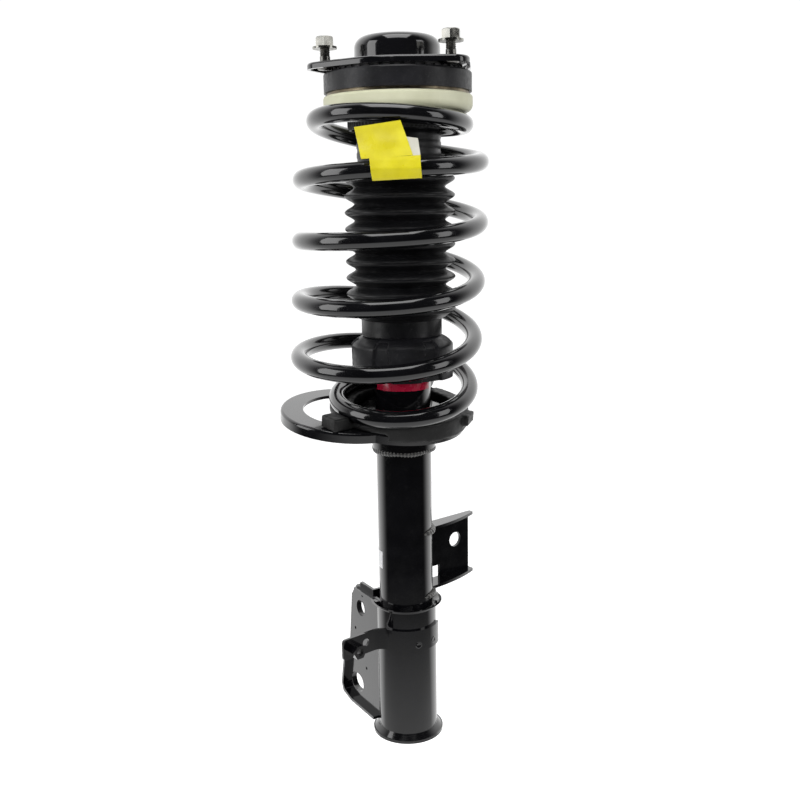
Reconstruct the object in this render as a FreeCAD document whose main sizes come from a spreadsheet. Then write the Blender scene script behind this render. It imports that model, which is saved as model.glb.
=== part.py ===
"""Coil-over suspension strut with its top mount, spring, dust boot and knuckle bracket.

Frame: +Z runs up the strut's axis, the origin is on that axis at the top plate's upper face, and the
knuckle bracket's two ears reach towards -X, so the knuckle bolts lie along Y. Lengths are millimetres.
Heights in the sheet are drawn from a level datum_height above that face; each sub-part's Placement
carries it to the frame.
The strut is drawn at full droop: the rod is fully out and the spring is at its longest fitted length.
"""
import FreeCAD, Part
import Sketcher
import math
import os

from FreeCAD import Placement, Rotation, Vector

DIMS = {
    # top mount
    "datum_height": 3.3, "plate_top": -3.3, "plate_thick": 2.6, "plate_rim_low": -8.2,
    "plate_edge_round": 2.3, "plate_round": 57.0, "lobe_round": 14.0,
    "stud_circle": 57.0, "stud_first_angle": 13.0, "stud_round": 4.0, "stud_press_round": 4.3,
    "stud_thread_round": 3.6, "stud_top": 13.6, "stud_head_round": 6.0, "stud_head_thick": 2.4,
    "nut_low": 7.0, "nut_flange_high": 8.6, "nut_high": 16.0, "nut_flange_round": 9.4,
    "nut_across_flats": 13.0, "nut_first_turn": 20.0, "nut_turn_step": 35.0,
    "nut_crown_round": 7.9, "nut_crown_top_round": 6.1, "nut_crown_high": 1.8,
    "can_round": 33.6, "can_wall": 2.4, "can_top": 17.2, "can_low": -12.0, "can_corner": 9.0,
    "can_bevel": 8.0,
    "boss_round": 7.0, "boss_top": 18.6,
    "clamp_top": -6.2, "clamp_low": -9.6, "clamp_round": 50.6, "clamp_inner": 38.6,
    "clamp_teeth": 40.0, "tooth_width": 3.6, "tooth_depth": 1.2, "tooth_height": 1.6,
    "shell_round": 36.4, "shell_wall": 2.0, "shell_low": -28.0,
    "rubber_top": 2.0, "rubber_low": -25.6, "sleeve_round": 11.0, "sleeve_top": 4.0, "sleeve_low": -30.0,
    "washer_round": 22.0, "washer_thick": 2.0, "rod_nut_high": 8.0, "rod_nut_flats": 19.0,
    # strut bearing
    "upper_ring_round": 57.9, "upper_ring_top": -10.2, "upper_ring_low": -25.0, "ring_inner": 39.0,
    "ring_wall": 2.2, "race_seat": -18.0, "race_inner": 45.5, "race_outer": 55.5,
    "upper_race_low": -24.6, "lower_race_top": -27.4, "lower_race_low": -31.0, "race_lip": -26.9,
    "ball_circle": 50.5, "ball_round": 2.5, "ball_height": -26.0, "ball_play": 0.05, "ball_count": 30.0,
    "cage_top": -25.2, "cage_low": -26.8, "cage_half_width": 2.6,
    "lower_ring_round": 58.5, "lower_ring_top": -27.2, "lower_ring_low": -40.6, "lower_ring_edge": 6.0,
    "hub_round": 40.2, "hub_inner": 33.6, "hub_low": -53.0,
    # coil spring
    "wire_round": 6.9, "coil_round": 70.9, "coil_tip_round": 54.0, "coil_foot_round": 49.0,
    "coil_turns": 6.0, "coil_start_angle": 119.0, "coil_top": -45.4, "dead_drop": 3.0,
    "coil_pitch": 46.6, "lean_top": 6.1, "lean_top_angle": 85.4, "lean_low": 18.1,
    "lean_low_angle": 341.6, "bow_top": 6.2, "bow_top_angle": 305.0, "bow_low": 14.3,
    "bow_low_angle": 244.2,
    # the coil's turn counts: where it widens, narrows, starts and stops coming down, and bows
    "widen_turns": 1.48, "narrow_start": 4.89, "narrow_turns": 1.06, "drop_start": 0.39,
    "drop_start_turns": 0.47, "drop_end": 4.08, "drop_end_turns": 2.77, "bow_turns": 5.0,
    "bow_end": 4.97, "bow_end_turns": 0.8, "lean_start": 0.4, "lean_turns": 5.6, "groove_turns": 1.3,
    # dust boot and bump stop
    "boot_wall": 1.4, "boot_neck_round": 33.0, "boot_top": -42.0, "pleats_top": -84.0,
    "pleats_low": -200.0, "pleat_count": 9.0, "pleat_tip": 44.3, "pleat_root": 36.3,
    "boot_collar_round": 32.8, "boot_low": -214.0,
    "stop_round": 24.0, "stop_waist": 20.0, "stop_top": -44.0, "stop_low": -141.5, "stop_cup_round": 28.0,
    "stop_cup_top": -32.0,
    "cup_neck_round": 30.5, "cup_neck_top": -201.0, "cup_shoulder": -215.0, "cup_round": 41.8,
    "cup_flare_low": -223.0, "cup_low": -249.0, "cup_wall": 2.4, "cup_web_top": -229.0,
    "cup_web_low": -231.8,
    # damper
    "rod_round": 10.0, "rod_shoulder": -32.0, "rod_thread_round": 6.0, "rod_top": 14.0,
    "rod_low": -318.0, "rod_play": 0.05,
    "tube_round": 23.0, "tube_wall": 2.4, "tube_top": -238.0, "tube_low": -556.0, "tube_end": -561.0,
    "cap_top": -232.0, "cap_wall": 1.6, "guide_low": -258.0, "seal_low": -240.0,
    "inner_tube_round": 19.0, "inner_tube_wall": 1.4, "inner_tube_low": -545.0,
    "piston_top": -300.0, "piston_low": -316.0, "piston_round": 16.8, "piston_play": 0.06,
    "piston_nut_flats": 17.0, "piston_nut_high": 6.0,
    "rebound_top": -262.0, "rebound_low": -272.0, "rebound_round": 15.5,
    "valve_top": -535.0, "valve_low": -555.4,
    # lower spring seat, in a frame tipped down towards +X
    "seat_height": -283.0, "seat_tip_angle": 8.5, "seat_round": 55.0, "seat_thick": 2.6,
    "seat_rim": 6.0, "guard_offset": 45.0, "guard_round": 57.0, "guard_inner": 38.5,
    "guard_angle": 239.0, "seat_sleeve_round": 26.4, "seat_sleeve_low": -309.0,
    "seat_shift": 4.0, "seat_edge_round": 2.2, "hub_rim_round": 34.0, "hub_rim_inner": 31.0,
    "hub_rim_high": 7.0, "hub_rim_low": 4.0, "sleeve_above": 5.0,
    "isolator_outer": 57.5, "isolator_inner": 41.0, "isolator_thick": 9.0, "isolator_play": 0.3,
    "isolator_skirt_low": -3.0, "lug_start": 52.0, "lug_half_width": 9.0,
    "near_lug_angle": 280.0, "near_lug_reach": 79.0, "near_lug_high": 13.0,
    "far_lug_angle": 40.0, "far_lug_reach": 58.0, "far_lug_high": 11.5,
    "seat_weld_round": 2.2, "seat_weld_centre": 1.2,
    # stabiliser bracket
    "link_angle": 98.0, "link_reach": 74.0, "link_tip_reach": 76.0, "link_top": -382.0,
    "link_low": -438.0, "link_sheet": 2.6, "link_face": -1.0, "link_flange": 12.0,
    "link_tip_flange": 3.0, "link_root": 14.0, "link_bulge": 1.0, "link_bulge_reach": 44.0,
    "link_edge_round": 2.4, "link_gap_reach": 39.5, "link_gap_high": 14.0,
    "link_hole_round": 6.5, "link_hole_reach": 58.0, "link_hole_height": -405.0,
    "link_weld_round": 2.1, "link_weld_centre": 0.8,
    # knuckle bracket
    "collar_round": 25.5, "collar_bore": 23.0, "ear_face": 22.5, "ear_sheet": 2.5, "ear_reach": 73.5,
    "knuckle_top": -445.0, "knuckle_low": -565.3, "ear_low": -557.5, "lip_width": 5.0, "lip_thick": 2.6,
    "liner_sheet": 2.5, "liner_rise": 4.5, "liner_inset": 3.0, "ear_lip_top": -508.0,
    "bolt_round": 7.2, "upper_bolt_reach": 42.0, "upper_bolt_height": -463.5,
    "slot_round": 8.2, "slot_length": 21.6, "lower_bolt_reach": 51.0, "lower_bolt_height": -538.0,
    "pilot_round": 1.4, "flare_high": 4.0, "foot_flare_high": 5.0, "roll_width": 3.4,
    # hose bracket
    "strap_sheet": 2.2, "strap_top": -463.5, "strap_low": -481.8, "strap_wrap": 131.0,
    "hose_angle": 278.5, "hose_reach": 68.5, "hose_bend_round": 10.0, "tab_corner": 3.0,
    "hose_hole_round": 3.3, "hose_hole_reach": 45.0, "hose_hole_height": -472.0,
    "hose_nut_reach": 57.0, "hose_nut_flats": 11.0, "hose_nut_long": 8.0, "hose_nut_bore": 3.3,
    "hose_nut_height": -474.5,
    # labels and tag
    "label_thick": 0.15, "label_top": -233.5, "label_low": -258.5, "label_angle": 329.0,
    "label_half_angle": 66.0, "small_label_angle": 247.0, "small_label_half_angle": 24.0,
    "small_label_low": -413.0, "small_label_top": -398.0,
    "tag_thick": 0.4, "tag_width": 41.0, "tag_angle": 323.5,
}

PILOT_HOLES = [(-52.5, -486.0), (-33.5, -518.0), (-38.5, -450.5)]          # X and Z in the ears
TAG_LINE = [(71.0, -51.5), (83.0, -79.0), (84.6, -84.5), (83.0, -91.5)]    # reach and height

doc = FreeCAD.newDocument("strut_assembly")
sheet = doc.addObject("Spreadsheet::Sheet", "Dims")
for row, (word, size) in enumerate(DIMS.items(), start=1):
    sheet.set(f"A{row}", word)
    sheet.set(f"B{row}", str(size))
    sheet.setAlias(f"B{row}", word)
doc.recompute()
parts = []


# ---------------------------------------------------------------- helpers

def value(text):
    """The number that a sum of sheet words and plain numbers stands for."""
    total, sign = 0.0, 1.0
    for token in text.split():
        if token in ("+", "-"):
            sign = 1.0 if token == "+" else -1.0
            continue
        total += sign * (sheet.get(token) if token in DIMS else float(token))
        sign = 1.0
    return total


def formula(text):
    """The same sum, written for the sheet's expression engine."""
    return " ".join("Dims." + token if token in DIMS else token for token in text.split())


def keep(thing, label):
    """Names a sub-part and adds it to the list that is written out."""
    thing.Label = label
    thing.Placement = Placement(Vector(0, 0, value("datum_height")), Rotation())
    thing.setExpression("Placement.Base.z", "Dims.datum_height")
    parts.append(thing)
    return thing


def plane_of(body, role):
    for feature in body.Origin.OriginFeatures:
        if feature.Role == role:
            return feature
    raise ValueError(role)


def outline_sketch(body, corners, role, name):
    """A closed outline whose every corner is bound to the sheet by two expressions."""
    sketch = body.newObject("Sketcher::SketchObject", name)
    sketch.AttachmentSupport = [(plane_of(body, role), "")]
    sketch.MapMode = "FlatFace"
    points = [Vector(value(x), value(y), 0) for x, y in corners]
    for start, end in zip(points, points[1:] + points[:1]):
        sketch.addGeometry(Part.LineSegment(start, end), False)
    count = len(points)
    for index in range(count):
        sketch.addConstraint(Sketcher.Constraint("Coincident", index, 2, (index + 1) % count, 1))
    for index, (x, y) in enumerate(corners):
        for kind, text in (("DistanceX", x), ("DistanceY", y)):
            number = sketch.addConstraint(Sketcher.Constraint(kind, -1, 1, index, 1, value(text)))
            sketch.setExpression(f"Constraints[{number}]", formula(text))
    return sketch


def turned(label, corners):
    """A body of revolution about the strut's axis from (radius, height) corners."""
    body = doc.addObject("PartDesign::Body", label)
    sketch = outline_sketch(body, corners, "XZ_Plane", label + "_profile")
    spin = body.newObject("PartDesign::Revolution", label + "_spin")
    spin.Profile = sketch
    spin.ReferenceAxis = (sketch, ["V_Axis"])
    spin.Angle = 360.0
    doc.recompute()
    return keep(body, label)


def ring(outer, inner, low, top):
    """Corners of a plain rectangular ring section."""
    return [(inner, low), (outer, low), (outer, top), (inner, top)]


def rounded(body, circles, radius):
    """Rounds the circular edges at the given (radius, height) places of a turned body."""
    base, edges = body.Tip, []
    for index, edge in enumerate(base.Shape.Edges, start=1):
        curve = edge.Curve
        if not isinstance(curve, Part.Circle):
            continue
        for round_text, height_text in circles:
            close = abs(curve.Radius - value(round_text)) < 1e-4
            if close and abs(curve.Center.z - value(height_text)) < 1e-4:
                edges.append(f"Edge{index}")
    fillet = body.newObject("PartDesign::Fillet", body.Label + "_round")
    fillet.Base = (base, edges)
    fillet.Radius = value(radius)
    fillet.setExpression("Radius", formula(radius))
    body.Tip = fillet
    doc.recompute()
    return body


def shaped(label, shape):
    """A sub-part whose shape is made with Part's own functions."""
    thing = doc.addObject("Part::Feature", label)
    thing.Shape = shape if shape.Placement.isIdentity() else Part.makeCompound([shape])
    return keep(thing, label)


def disc(radius, low, top, x=0.0, y=0.0):
    return Part.makeCylinder(radius, top - low, Vector(x, y, low))


def block(x0, x1, y0, y1, z0, z1):
    return Part.makeBox(x1 - x0, y1 - y0, z1 - z0, Vector(x0, y0, z0))


def prism(points, direction):
    """A straight-sided solid from a closed run of corners."""
    wire = Part.makePolygon([Vector(*p) for p in points] + [Vector(*points[0])])
    return Part.Face(wire).extrude(direction)


def hexagon(flats, low, top, x=0.0, y=0.0, turn=0.0):
    corner = flats / math.sqrt(3.0)
    angles = [math.radians(turn + 60.0 * side) for side in range(6)]
    points = [(x + corner * math.cos(a), y + corner * math.sin(a), low) for a in angles]
    return prism(points, Vector(0, 0, top - low))


def polar(radius, degrees):
    angle = math.radians(degrees)
    return radius * math.cos(angle), radius * math.sin(angle)


def eased(n, start, width):
    """The running total of a smooth step that rises from 0 to 1 over width, from start on."""
    u = (n - start) / width
    if u <= 0.0:
        return 0.0
    if u >= 1.0:
        return n - start - width / 2.0
    return width * (u ** 3 - u ** 4 / 2.0)


def step(n, start, width):
    u = min(max((n - start) / width, 0.0), 1.0)
    return u * u * (3.0 - 2.0 * u)


# ---------------------------------------------------------------- top mount

def stud_places():
    first = value("stud_first_angle")
    return [polar(value("stud_circle"), first + 120.0 * index) for index in range(3)]


def lobed(inset, low, top):
    """The mount plate's outline: a circle drawn out to a rounded lobe at each stud."""
    body_round = value("plate_round") - inset
    lobe = value("lobe_round") - inset
    solid = disc(body_round, low, top)
    for x, y in stud_places():
        away = math.degrees(math.atan2(y, x))
        reach = value("stud_circle")
        open_angle = math.degrees(math.acos((body_round - lobe) / reach))
        points = []
        for side in (-1, 1):
            turn = away + side * open_angle
            near = polar(body_round, turn)
            far = polar(lobe, turn)
            pair = [near, (x + far[0], y + far[1])]
            points += pair if side < 0 else pair[::-1]
        points.append((0.0, 0.0))
        web = prism([(px, py, low) for px, py in points], Vector(0, 0, top - low))
        solid = solid.fuse([web, disc(lobe, low, top, x, y)])
    return solid.removeSplitter()


def mount_plate():
    low, top, thick = value("plate_rim_low"), value("plate_top"), value("plate_thick")
    solid = lobed(0.0, low, top)
    top_edges = [edge for edge in solid.Edges if abs(edge.BoundBox.ZMin - top) < 1e-6]
    solid = solid.makeFillet(value("plate_edge_round"), top_edges)
    solid = solid.cut(lobed(thick, low - 1.0, top - thick))
    holes = [disc(value("stud_press_round"), low, top + 1.0, x, y) for x, y in stud_places()]
    solid = solid.cut(holes + [disc(value("can_round"), low - 1.0, top + 1.0)])
    shaped("mount_plate", solid)


def mount_can():
    wall = "can_round - can_wall"
    body = turned("mount_can", [
        ("0", "can_top - can_wall"), (wall + " - can_bevel", "can_top - can_wall"),
        (wall, "can_top - can_wall - can_bevel"), (wall, "can_low"),
        ("can_round", "can_low"), ("can_round", "can_top"), ("boss_round", "can_top"),
        ("boss_round", "boss_top"), ("0", "boss_top")])
    rounded(body, [("can_round", "can_top")], "can_corner")
    rounded(body, [("boss_round", "boss_top")], "0.8")


def mount_studs():
    solids = []
    under, top = value("plate_top - plate_thick"), value("plate_top")
    for x, y in stud_places():
        pressed = disc(value("stud_press_round"), under, top, x, y)
        shank = disc(value("stud_round"), top, value("nut_low") - 0.2, x, y)
        thread = disc(value("stud_thread_round"), value("nut_low") - 0.2, value("stud_top"), x, y)
        head = disc(value("stud_head_round"), under - value("stud_head_thick"), under, x, y)
        solids.append(shank.fuse([pressed, thread, head]).removeSplitter())
    shaped("mount_studs", Part.makeCompound(solids))


def stud_nuts():
    solids = []
    for index, (x, y) in enumerate(stud_places()):
        low, mid, top = value("nut_low"), value("nut_flange_high"), value("nut_high")
        flange = disc(value("nut_flange_round"), low, mid, x, y)
        hexes = hexagon(value("nut_across_flats"), mid, top, x, y,
                        turn=value("nut_first_turn") + value("nut_turn_step") * index)
        shoulder = top - value("nut_crown_high")
        crown = Part.makeCone(value("nut_crown_round"), value("nut_crown_top_round"),
                              value("nut_crown_high"), Vector(x, y, shoulder))
        crown = crown.fuse(disc(value("nut_flange_round"), mid, shoulder, x, y))
        nut = flange.fuse(hexes.common(crown)).removeSplitter()
        bore = disc(value("stud_thread_round"), low - 1.0, value("stud_top"), x, y)
        solids.append(nut.cut(bore))
    shaped("stud_nuts", Part.makeCompound(solids))


def clamp_ring():
    """The toothed ring that crimps the lower shell under the plate."""
    low, top, outer = value("clamp_low"), value("clamp_top"), value("clamp_round")
    solid = disc(outer, low, top).cut(disc(value("clamp_inner"), low, top))
    count = int(value("clamp_teeth"))
    notch = block(outer - value("tooth_depth"), outer + 1.0, -value("tooth_width") / 2.0,
                  value("tooth_width") / 2.0, low, low + value("tooth_height"))
    cuts = []
    for index in range(count):
        cut = notch.copy()
        cut.rotate(Vector(), Vector(0, 0, 1), 360.0 * index / count)
        cuts.append(cut)
    shaped("clamp_ring", solid.cut(cuts))


def top_mount():
    mount_plate()
    mount_can()
    mount_studs()
    stud_nuts()
    clamp_ring()
    turned("mount_lower_shell", [
        ("shell_round - shell_wall", "clamp_top"), ("shell_round", "clamp_top"),
        ("shell_round", "shell_low"), ("washer_round + 2", "shell_low"),
        ("washer_round + 2", "shell_low + shell_wall"),
        ("shell_round - shell_wall", "shell_low + shell_wall")])
    turned("mount_rubber", [
        ("sleeve_round", "rubber_low"), ("shell_round - shell_wall", "rubber_low"),
        ("shell_round - shell_wall", "can_low - 0.4"), ("can_round - can_wall", "can_low - 0.4"),
        ("can_round - can_wall", "rubber_top"), ("sleeve_round", "rubber_top")])
    turned("mount_sleeve", ring("sleeve_round", "rod_thread_round + 0.1", "sleeve_low", "sleeve_top"))
    turned("upper_washer", ring("washer_round", "rod_thread_round + 0.1", "sleeve_top",
                                "sleeve_top + washer_thick"))
    turned("lower_washer", ring("washer_round", "rod_thread_round + 0.1", "sleeve_low - washer_thick",
                                "sleeve_low"))
    low = value("sleeve_top + washer_thick")
    nut = hexagon(value("rod_nut_flats"), low, low + value("rod_nut_high"))
    shaped("rod_nut", nut.cut(disc(value("rod_thread_round"), low - 1.0, 30.0)))


# ---------------------------------------------------------------- strut bearing

def bearing():
    body = turned("bearing_upper_ring", [
        ("ring_inner", "race_seat"), ("upper_ring_round - ring_wall", "race_seat"),
        ("upper_ring_round - ring_wall", "upper_ring_low"), ("upper_ring_round", "upper_ring_low"),
        ("upper_ring_round", "upper_ring_top"), ("ring_inner", "upper_ring_top")])
    rounded(body, [("upper_ring_round", "upper_ring_top")], "1.6")
    groove = Part.makeTorus(value("ball_circle"), value("ball_round + ball_play"),
                            Vector(0, 0, value("ball_height")))
    inner, outer = value("race_inner"), value("race_outer")
    upper = disc(outer, value("race_lip"), value("race_seat"))
    upper = upper.cut([disc(inner, -40.0, 0.0), disc(outer - 1.2, -40.0, value("upper_race_low")),
                       groove])
    shaped("upper_race", upper)
    lower = disc(outer, value("lower_race_low"), value("lower_race_top"))
    shaped("lower_race", lower.cut([disc(inner, -40.0, 0.0), groove]))
    count = int(value("ball_count"))
    centres = [polar(value("ball_circle"), 360.0 * index / count) for index in range(count)]
    height = value("ball_height")
    balls = [Part.makeSphere(value("ball_round"), Vector(x, y, height)) for x, y in centres]
    shaped("bearing_balls", Part.makeCompound(balls))
    half = value("cage_half_width")
    middle = value("ball_circle")
    cage = disc(middle + half, value("cage_low"), value("cage_top"))
    cage = cage.cut(disc(middle - half, -40.0, 0.0))
    pocket = value("ball_round + ball_play")
    shaped("ball_cage", cage.cut([disc(pocket, -28.0, -24.0, x, y) for x, y in centres]))
    body = turned("bearing_lower_ring", [
        ("hub_inner", "lower_ring_low"), ("lower_ring_round", "lower_ring_low"),
        ("lower_ring_round", "lower_ring_top"), ("race_outer", "lower_ring_top"),
        ("race_outer", "lower_race_low"), ("race_inner", "lower_race_low"),
        ("race_inner", "lower_ring_top"), ("hub_inner + 4", "lower_ring_top"),
        ("hub_inner + 4", "lower_race_low"), ("hub_inner", "lower_race_low")])
    rounded(body, [("lower_ring_round", "lower_ring_top")], "2.4")
    rounded(body, [("lower_ring_round", "lower_ring_low")], "lower_ring_edge")
    turned("upper_isolator", [
        ("boot_neck_round + 4.6", "lower_ring_low"), ("hub_round", "lower_ring_low"),
        ("hub_round", "hub_low + 3"), ("hub_round - 1", "hub_low"),
        ("boot_neck_round + 4.6", "hub_low")])


# ---------------------------------------------------------------- coil spring

def shared(share, first, first_angle, last, last_angle):
    """A level vector that passes from one size and direction to another as share goes from 0 to 1."""
    x0, y0 = polar(value(first), value(first_angle))
    x1, y1 = polar(value(last), value(last_angle))
    share = min(max(share, 0.0), 1.0)
    return x0 + (x1 - x0) * share, y0 + (y1 - y0) * share


def coil_point(n):
    """The wire's centre after n turns from the upper tip, winding down clockwise from above."""
    angle = value("coil_start_angle") - 360.0 * n
    swell = step(n, 0.0, value("widen_turns"))
    swell *= 1.0 - step(n, value("narrow_start"), value("narrow_turns"))
    end_round = value("coil_tip_round") if n < 3.0 else value("coil_foot_round")
    radius = end_round + (value("coil_round") - end_round) * swell
    fall = value("dead_drop") * n
    live = eased(n, value("drop_start"), value("drop_start_turns"))
    live -= eased(n, value("drop_end"), value("drop_end_turns"))
    fall += (value("coil_pitch") - value("dead_drop")) * live
    bow_x, bow_y = shared(n / value("bow_turns"), "bow_top", "bow_top_angle", "bow_low", "bow_low_angle")
    bow_share = 1.0 - step(n, value("bow_end"), value("bow_end_turns"))
    lean_share = (n - value("lean_start")) / value("lean_turns")
    lean_x, lean_y = shared(lean_share, "lean_top", "lean_top_angle", "lean_low", "lean_low_angle")
    x, y = polar(radius, angle)
    lean = (lean_x * x + lean_y * y) / value("coil_round")
    return Vector(x + bow_x * bow_share, y + bow_y * bow_share, value("coil_top") - fall - lean)


def coil_pipe(radius, first, last):
    """A round bar along the coil from one turn count to another."""
    steps = int(round((last - first) * 16))
    points = [coil_point(first + (last - first) * index / steps) for index in range(steps + 1)]
    curve = Part.BSplineCurve()
    curve.interpolate(points)
    path = Part.Wire([curve.toShape()])
    start = points[0]
    heading = curve.tangent(curve.FirstParameter)[0]
    section = Part.Wire([Part.makeCircle(radius, start, heading)])
    return path.makePipeShell([section], True, True)


def coil_spring():
    shaped("coil_spring", coil_pipe(value("wire_round"), 0.0, value("coil_turns")))


# ---------------------------------------------------------------- dust boot and bump stop

def boot():
    wall = " - boot_wall"
    outer = [("boot_neck_round", "boot_top"), ("boot_neck_round", "pleats_top")]
    inner = [("boot_neck_round" + wall, "boot_top"), ("boot_neck_round" + wall, "pleats_top")]
    count = int(value("pleat_count"))
    pitch = (value("pleats_top") - value("pleats_low")) / count
    for index in range(count):
        tip = f"pleats_top - {round(pitch * (index + 0.5), 4)}"
        outer.append(("pleat_tip", tip))
        inner.append(("pleat_tip - 3.2", tip))
        if index < count - 1:
            root = f"pleats_top - {round(pitch * (index + 1), 4)}"
            outer.append(("pleat_root", root))
            inner.append(("pleat_root - 3.2", root))
    outer += [("boot_collar_round", "pleats_low"), ("boot_collar_round", "boot_low")]
    inner += [("boot_collar_round - 1.8", "pleats_low"), ("boot_collar_round - 1.8", "boot_low")]
    flange = [("boot_neck_round + 4", "boot_top"), ("boot_neck_round + 4", "boot_top - 2"),
              ("boot_neck_round", "boot_top - 2")]
    turned("dust_boot", flange + outer[1:] + inner[::-1])


def bump_parts():
    corners = [("rod_round + 0.4", "stop_low"), ("stop_waist", "stop_low")]
    lobes = 4
    height = (value("stop_top") - value("stop_low")) / lobes
    for index in range(lobes):
        base = value("stop_low") + height * index
        corners.append(("stop_round" if index else "stop_waist + 1.5", f"{round(base + height * 0.45, 4)}"))
        corners.append(("stop_waist", f"{round(base + height, 4)}"))
    corners.append(("rod_round + 0.4", "stop_top"))
    turned("bump_stop", corners)
    turned("bump_stop_cup", [
        ("rod_round + 0.4", "stop_cup_top - 4"), ("stop_cup_round - 2", "stop_cup_top - 4"),
        ("stop_cup_round - 2", "stop_top - 8"), ("stop_cup_round", "stop_top - 8"),
        ("stop_cup_round", "stop_cup_top"), ("rod_round + 0.4", "stop_cup_top")])
    turned("boot_cup", [
        ("rod_round + 3", "cup_web_low"), ("cup_round - cup_wall", "cup_web_low"),
        ("cup_round - cup_wall", "cup_low"), ("cup_round", "cup_low"), ("cup_round", "cup_flare_low"),
        ("boot_collar_round", "cup_shoulder"), ("cup_neck_round", "cup_shoulder"),
        ("cup_neck_round", "cup_neck_top"), ("cup_neck_round - cup_wall", "cup_neck_top"),
        ("cup_neck_round - cup_wall", "cup_web_top"), ("rod_round + 3", "cup_web_top")])


# ---------------------------------------------------------------- damper

def damper():
    turned("piston_rod", [
        ("0", "rod_low"), ("rod_thread_round", "rod_low"), ("rod_thread_round", "piston_top"),
        ("rod_round", "piston_top"), ("rod_round", "rod_shoulder"),
        ("rod_thread_round", "rod_shoulder"), ("rod_thread_round", "rod_top"), ("0", "rod_top")])
    bore = "inner_tube_round - inner_tube_wall"
    turned("piston", ring("piston_round", "rod_thread_round", "piston_low + piston_nut_high",
                          "piston_top"))
    turned("piston_band", ring(bore + " - piston_play", "piston_round", "piston_low + 8",
                               "piston_top - 2"))
    low = value("piston_low")
    high = value("piston_nut_high")
    nut = hexagon(value("piston_nut_flats"), low, low + high)
    shaped("piston_nut", nut.cut(disc(value("rod_thread_round"), low - 1.0, low + high + 1.0)))
    turned("rebound_stop", ring("rebound_round", "rod_round", "rebound_low", "rebound_top"))
    turned("rod_guide", ring("inner_tube_round - inner_tube_wall - 0.1", "rod_round + rod_play",
                             "guide_low", "seal_low"))
    turned("rod_seal", ring("rod_round + 6", "rod_round + rod_play", "seal_low", "cap_top - cap_wall"))
    inner = "tube_round - tube_wall"
    turned("closing_cap", [
        (inner + " - 0.2", "seal_low + 2"), (inner + " - 0.2", "tube_top + 1"),
        ("tube_round", "tube_top + 1"), ("tube_round", "cap_top"), ("rod_round + 1.5", "cap_top"),
        ("rod_round + 1.5", "cap_top - cap_wall"), ("rod_round + 6.2", "cap_top - cap_wall"),
        ("rod_round + 6.2", "seal_low + 2")])
    turned("inner_tube", ring("inner_tube_round", bore, "inner_tube_low", "seal_low"))
    turned("base_valve", [
        ("0", "valve_low"), ("tube_round - tube_wall - 1", "valve_low"),
        ("tube_round - tube_wall - 1", "inner_tube_low"), (bore, "inner_tube_low"),
        (bore, "valve_top"), ("0", "valve_top")])
    body = turned("outer_tube", ring("tube_round", inner, "tube_low", "tube_top"))
    rounded(body, [("tube_round", "tube_top")], "1.2")
    turned("tube_end_cap", [
        ("0", "tube_end"), ("tube_round - 3", "tube_end"), ("tube_round", "tube_low - 1"),
        ("tube_round", "tube_low"), ("0", "tube_low")])


# ---------------------------------------------------------------- lower spring seat

def tipped(shape):
    """Moves a shape drawn flat at height 0 onto the seat, which tips down towards +X."""
    shape.rotate(Vector(), Vector(0, 1, 0), value("seat_tip_angle"))
    shape.translate(Vector(0, 0, value("seat_height")))
    return shape


def seat_centre():
    return polar(value("seat_shift"), value("guard_angle"))


def seat_outline(inset, low, top):
    gx, gy = polar(value("guard_offset"), value("guard_angle"))
    plate = disc(value("seat_round") - inset, low, top, *seat_centre())
    return plate.fuse(disc(value("guard_round") - inset, low, top, gx, gy)).removeSplitter()


def lower_spring_seat():
    gx, gy = polar(value("guard_offset"), value("guard_angle"))
    thick, rim = value("seat_thick"), value("seat_rim")
    solid = seat_outline(0.0, -rim, thick)
    edges = [edge for edge in solid.Edges if edge.BoundBox.ZMin > thick - 1e-6]
    solid = solid.makeFillet(value("seat_edge_round"), edges)
    solid = solid.cut(seat_outline(thick, -rim - 1.0, 0.0))
    window = disc(value("guard_inner"), -rim - 1.0, thick + 1.0, gx, gy)
    window = window.cut(disc(value("seat_round"), -rim - 2.0, thick + 2.0, *seat_centre()))
    solid = solid.cut(window)
    hub = disc(value("hub_rim_round"), 0.0, value("hub_rim_high"))
    hub = hub.cut(disc(value("hub_rim_inner"), 0.0, value("hub_rim_low")))
    solid = tipped(solid.fuse(hub))
    sleeve = disc(value("seat_sleeve_round"), value("seat_sleeve_low"),
                  value("seat_height") + value("sleeve_above"))
    solid = solid.fuse(sleeve).cut(disc(value("tube_round"), -340.0, -250.0))
    shaped("lower_spring_seat", solid.removeSplitter())


def lower_isolator():
    top = value("seat_thick") + value("isolator_thick")
    cx, cy = seat_centre()
    pad = disc(value("isolator_outer"), value("seat_thick"), top, cx, cy)
    pad = pad.cut(disc(value("isolator_inner"), -1.0, top + 1.0))
    skirt_low = value("isolator_skirt_low")
    outside = disc(value("isolator_outer"), skirt_low, value("seat_thick"), cx, cy)
    outside = outside.cut(disc(value("seat_round") + 0.1, skirt_low - 1.0, top, cx, cy))
    gx, gy = polar(value("guard_offset"), value("guard_angle"))
    guard_side = disc(value("guard_round") + 8.0, skirt_low - 1.0, top, gx, gy)
    pad = pad.fuse(outside.cut(guard_side))
    half = value("lug_half_width")
    for lug_name in ("near_lug", "far_lug"):
        reach, high = value(lug_name + "_reach"), value(lug_name + "_high")
        lug = block(value("lug_start"), reach, -half, half, value("seat_thick"), high)
        lug.rotate(Vector(), Vector(0, 0, 1), value(lug_name + "_angle"))
        pad = pad.fuse(lug)
    pad = tipped(pad)
    turns = value("coil_turns")
    groove = coil_pipe(value("wire_round") + value("isolator_play"), turns - value("groove_turns"),
                       turns - 0.001)
    tip = coil_point(turns)
    end_room = Part.makeSphere(value("wire_round") + 1.0, tip)
    shaped("lower_isolator", pad.cut([groove, end_room]).removeSplitter())


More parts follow.
